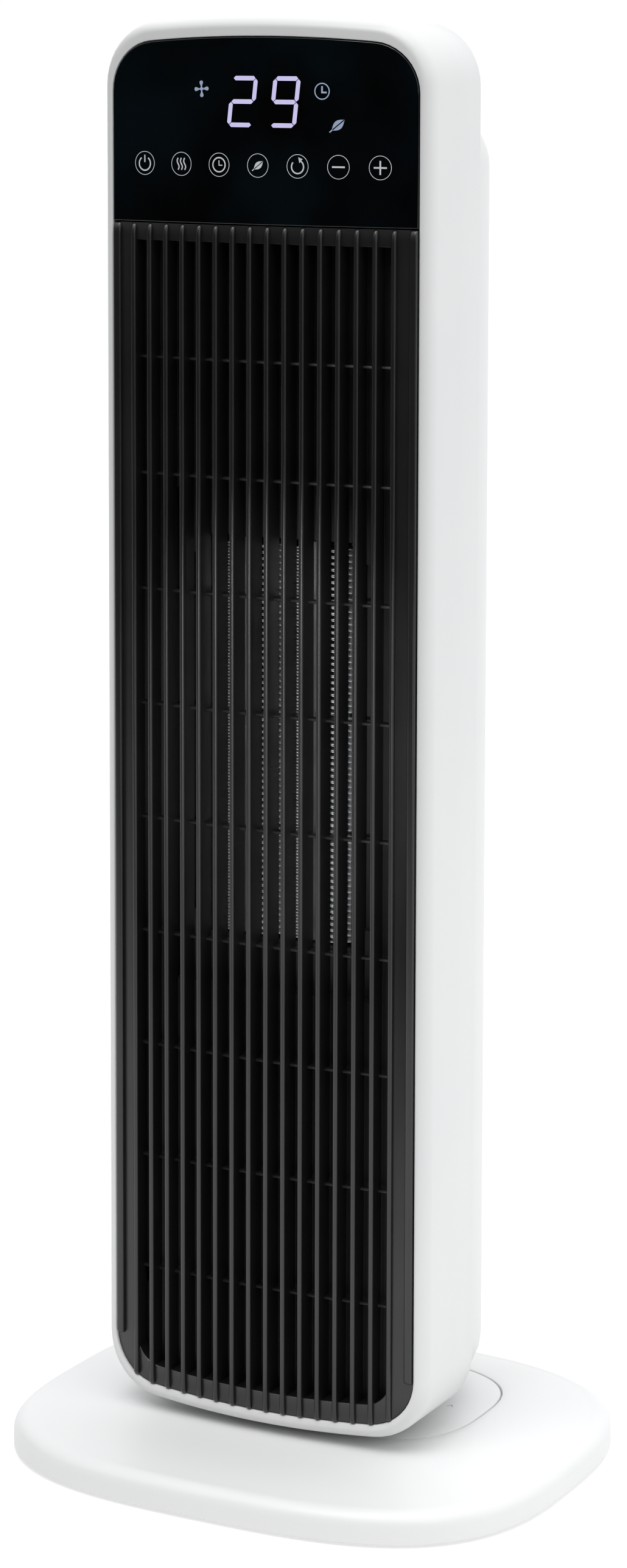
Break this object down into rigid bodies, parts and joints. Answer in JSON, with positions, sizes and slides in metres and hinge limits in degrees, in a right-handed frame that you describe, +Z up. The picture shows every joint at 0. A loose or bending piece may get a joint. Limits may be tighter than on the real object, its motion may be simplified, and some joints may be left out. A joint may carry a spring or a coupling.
{
  "type": "ceramic tower heater",
  "caption": "Free-standing ceramic tower heater with a touch panel, a ribbed outlet grille, a cross-flow blower and a swivelling tower on a rounded base.",
  "frame": {"origin": "middle of the base's underside, at floor level", "axes": "+Z is up, the outlet and the touch panel face -Y, and X is the width"},
  "size_m": [0.263, 0.22, 0.656],
  "materials": {
    "white_shell": "satin moulded white plastic",
    "white_base": "satin moulded white plastic",
    "grille_black": "matt charcoal moulded plastic",
    "black_glass": "polished black printed panel",
    "black_plastic": "matt black moulded plastic",
    "display": "frosted white light diffuser",
    "circuit_board": "green solder mask",
    "brass": "plain",
    "duct_black": "matt black moulded plastic",
    "heat_plastic": "matt black glass-filled heat-resistant plastic",
    "aluminium": "bare rolled foil",
    "ceramic_chip": "sintered",
    "steel": "zinc plated",
    "copper": "enamelled copper wire",
    "impeller_plastic": "matt dark grey moulded plastic",
    "rubber": "matt",
    "yellow_plastic": "glossy",
    "pale_plastic": "natural acetal",
    "filter_mesh": "fine woven mesh"
  },
  "bodies": {
    "base": {"foot_plate": "white_base", "foot_screws": "steel", "base_cover": "white_base", "base_bottom": "white_base", "base_screws": "steel", "rubber_feet": "rubber", "tip_switch": "black_plastic", "glide_ring": "pale_plastic", "foot_gear": "pale_plastic", "gear_screws": "steel"},
    "tower": {"front_shell": "white_shell", "rear_housing": "white_shell", "front_grille": "grille_black", "control_glass": "black_glass", "display_carrier": "black_plastic", "display_module": "display", "display_board": "circuit_board", "touch_springs": "brass", "ir_receiver": "black_plastic", "buzzer": "black_plastic", "air_duct": "duct_black", "heater_frame": "heat_plastic", "heater_tubes": "aluminium", "heater_fins": "aluminium", "ptc_chips": "ceramic_chip", "heater_terminals": "brass", "thermal_cutout": "steel", "thermal_fuse": "heat_plastic", "room_sensor": "black_plastic", "scroll_housing": "duct_black", "vortex_tongue": "duct_black", "upper_bearing": "brass", "bearing_rubber": "rubber", "stator_core": "steel", "stator_coils": "copper", "motor_lower_cover": "steel", "motor_upper_cover": "steel", "motor_bearings": "brass", "motor_rubbers": "rubber", "power_board": "circuit_board", "relays": "black_plastic", "filter_capacitor": "yellow_plastic", "heat_sink": "aluminium", "terminal_block": "pale_plastic", "swing_motor": "steel", "swing_bracket": "duct_black", "turntable": "pale_plastic", "turntable_screws": "steel", "rocker_frame": "black_plastic", "cord_bush": "pale_plastic", "housing_screws": "steel"},
    "fan": {"impeller": "impeller_plastic", "motor_shaft": "steel", "motor_rotor": "steel"},
    "swing_pinion": {"pinion": "pale_plastic"},
    "power_rocker": {"rocker": "black_plastic"},
    "filter_cover": {"intake_grille": "white_shell", "dust_filter": "filter_mesh"},
    "plunger": {"tip_plunger": "pale_plastic"}
  },
  "joints": [
    {"name": "swing", "type": "hinge", "parent": "base", "child": "tower", "pos_m": [0, 0.0155, 0.03], "axis": [0, 0, 1], "range_deg": [-35, 35]},
    {"name": "fan_spin", "type": "hinge", "parent": "tower", "child": "fan", "pos_m": [0, 0.0375, 0.33], "axis": [0, 0, 1], "continuous": true},
    {"name": "pinion_spin", "type": "hinge", "parent": "tower", "child": "swing_pinion", "pos_m": [0.04, 0.0155, 0.035], "axis": [0, 0, 1], "range_deg": [-105.5, 105.5]},
    {"name": "rocker_tilt", "type": "hinge", "parent": "tower", "child": "power_rocker", "pos_m": [0, 0.0715, 0.092], "axis": [1, 0, 0], "range_deg": [-16, 0]},
    {"name": "filter_pull", "type": "slide", "parent": "tower", "child": "filter_cover", "axis": [0, 1, 0], "range_m": [0, 0.03]},
    {"name": "plunger_drop", "type": "slide", "parent": "base", "child": "plunger", "axis": [0, 0, -1], "range_m": [0, 0.004], "stiffness_N_per_m": 120, "springref_m": 0.006}
  ],
  "couplings": [
    {"joint": "pinion_spin", "follows": "swing", "ratio": 3}
  ]
}
